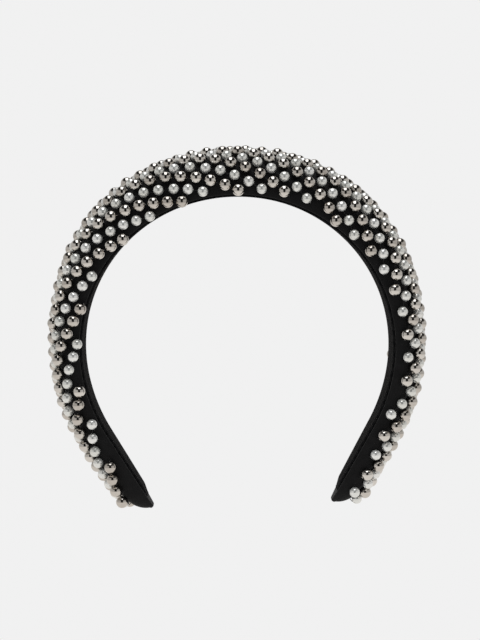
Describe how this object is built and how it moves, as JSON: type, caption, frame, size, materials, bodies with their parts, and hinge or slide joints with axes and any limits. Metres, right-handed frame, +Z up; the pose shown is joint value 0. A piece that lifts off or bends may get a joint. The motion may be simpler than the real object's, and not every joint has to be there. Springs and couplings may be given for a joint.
{
  "type": "headband",
  "caption": "Padded headband: an open springy hoop under a soft black cover, sewn all over with slanting rows of round silver and pearl beads.",
  "frame": {"origin": "centre of the crown on the lining's inner face, where the band rests on the head", "axes": "+Z up out of the top of the head, the front faces -Y, +X along the band to the right as seen from the front"},
  "size_m": [0.1631, 0.0481, 0.1569],
  "materials": {
    "cover_fabric": "soft matt cloth with a faint sheen",
    "lining_ribbon": "fine ribbed ribbon",
    "core_plastic": "satin moulded plastic",
    "padding_foam": "open-cell foam, hidden",
    "silver_bead": "polished plating on a light plastic bead",
    "pearl_bead": "pearl lustre"
  },
  "bodies": {
    "root": {"lining": "lining_ribbon", "core_band": "core_plastic", "foam_pad": "padding_foam", "cover": "cover_fabric", "pearl_row_01": "pearl_bead", "pearl_row_02": "pearl_bead", "pearl_row_03": "pearl_bead", "pearl_row_04": "pearl_bead", "pearl_row_05": "pearl_bead", "pearl_row_06": "pearl_bead", "pearl_row_07": "pearl_bead", "pearl_row_08": "pearl_bead", "pearl_row_09": "pearl_bead", "pearl_row_10": "pearl_bead", "pearl_row_11": "pearl_bead", "pearl_row_12": "pearl_bead", "pearl_row_13": "pearl_bead", "pearl_row_14": "pearl_bead", "pearl_row_15": "pearl_bead", "silver_row_01": "silver_bead", "silver_row_02": "silver_bead", "silver_row_03": "silver_bead", "silver_row_04": "silver_bead", "silver_row_05": "silver_bead", "silver_row_06": "silver_bead", "silver_row_07": "silver_bead", "silver_row_08": "silver_bead", "silver_row_09": "silver_bead", "silver_row_10": "silver_bead", "silver_row_11": "silver_bead", "silver_row_12": "silver_bead", "silver_row_13": "silver_bead", "silver_row_14": "silver_bead", "silver_row_15": "silver_bead", "silver_row_16": "silver_bead"}
  },
  "joints": []
}
